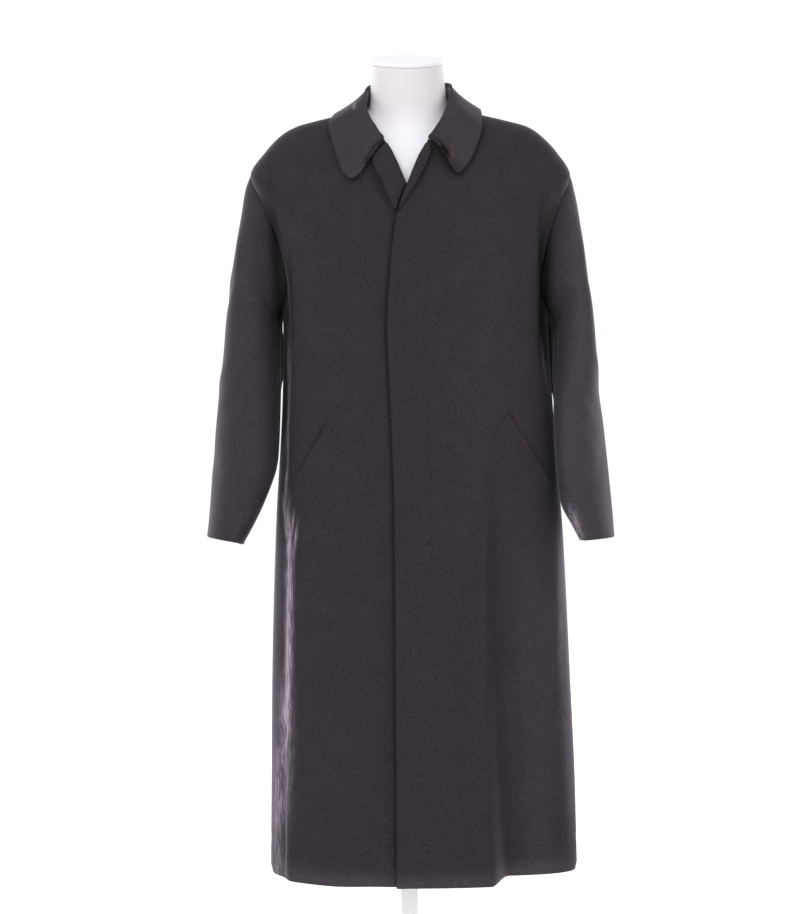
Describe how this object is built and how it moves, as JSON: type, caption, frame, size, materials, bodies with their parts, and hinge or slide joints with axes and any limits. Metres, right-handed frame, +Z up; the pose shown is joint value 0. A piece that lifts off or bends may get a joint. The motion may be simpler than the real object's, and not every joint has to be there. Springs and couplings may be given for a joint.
{
  "type": "wool overcoat on a dress form",
  "caption": "Long dark wool overcoat with turn-down collar, hidden front closing, limp sleeves and slanted pockets, worn by a limbless white form on a pole and round base.",
  "frame": {"origin": "centre of the underside of the round base, on the floor", "axes": "+Z up, -Y towards the front of the coat, +X towards the wearer's left side"},
  "size_m": [0.6542, 0.38, 1.5061],
  "materials": {
    "wool": "dark charcoal melange wool, milled and dull, with a pale nap at grazing angles",
    "form": "smooth white shell, low sheen",
    "stand": "white powder coat"
  },
  "bodies": {
    "root": {"front_left": "wool", "front_right": "wool", "back_left": "wool", "back_right": "wool", "top_sleeve_left": "wool", "under_sleeve_left": "wool", "top_sleeve_right": "wool", "under_sleeve_right": "wool", "collar_fall": "wool", "collar_stand": "wool", "facing_left": "wool", "facing_right": "wool", "welt_left": "wool", "welt_right": "wool", "form_torso": "form", "neck_cap": "form", "base_plate": "stand", "pole": "stand"}
  },
  "joints": []
}
